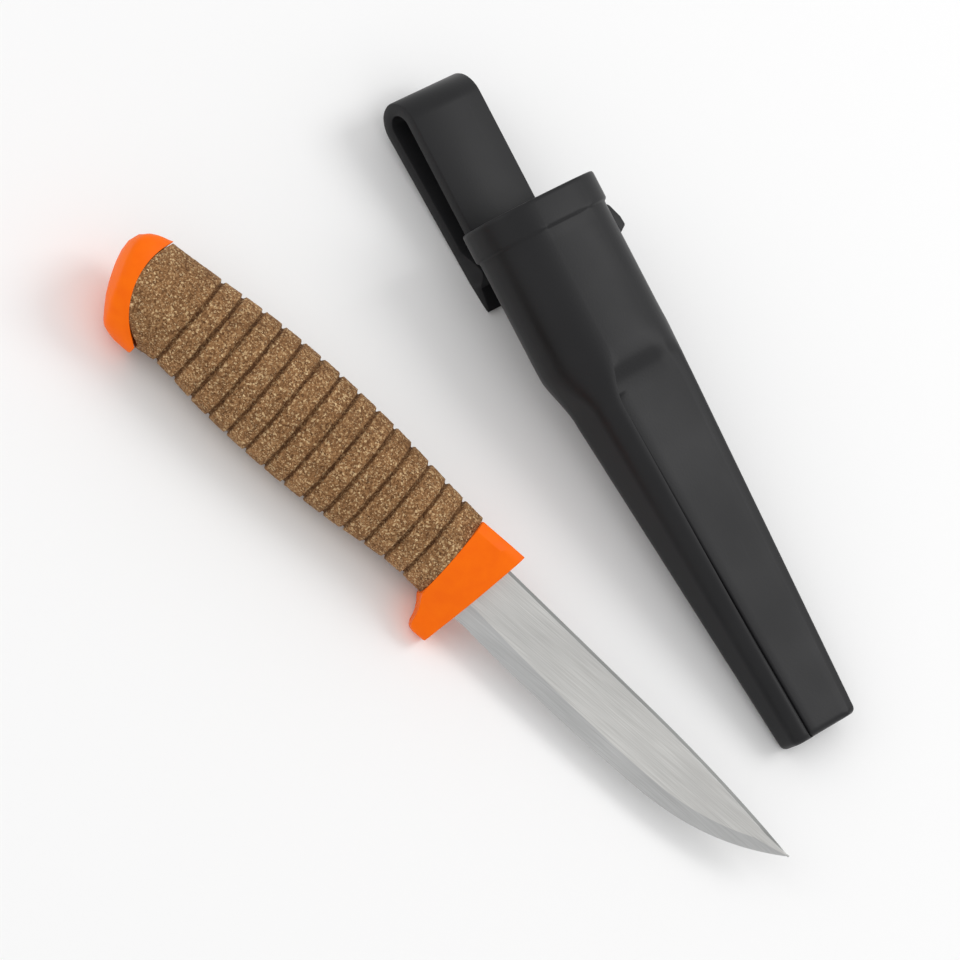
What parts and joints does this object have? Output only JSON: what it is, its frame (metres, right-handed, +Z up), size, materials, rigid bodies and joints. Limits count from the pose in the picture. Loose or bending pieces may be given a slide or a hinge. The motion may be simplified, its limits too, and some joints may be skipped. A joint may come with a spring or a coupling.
{
  "type": "rigging knife with sheath",
  "caption": "Fixed-blade sailing knife with a ribbed cork grip, finger guard and butt cap, lying beside its moulded belt sheath.",
  "frame": {"origin": "on the ground, at the middle of the laid-out pair's box", "axes": "+X along the knife from butt to point, +Z up from the surface both lie on"},
  "size_m": [0.2224, 0.13, 0.0373],
  "materials": {
    "steel": "satin",
    "orange_plastic": "matt",
    "cork": "matt",
    "black_plastic": "satin"
  },
  "bodies": {
    "sheath": {"sheath_body": "black_plastic"},
    "clip": {"clip_leg": "black_plastic"},
    "knife": {"blade": "steel", "guard_core": "orange_plastic", "cork_grip": "cork", "butt_cap": "orange_plastic"}
  },
  "joints": [
    {"name": "knife_lift", "type": "slide", "parent": "sheath", "child": "knife", "axis": [0, 0, 1], "range_m": [0, 0.12]},
    {"name": "clip_flex", "type": "hinge", "parent": "sheath", "child": "clip", "pos_m": [-0.07239, 0.0519, 0.01055], "axis": [0.36, 0.933, 0], "range_deg": [0, 6], "stiffness_Nm_per_rad": 8}
  ]
}
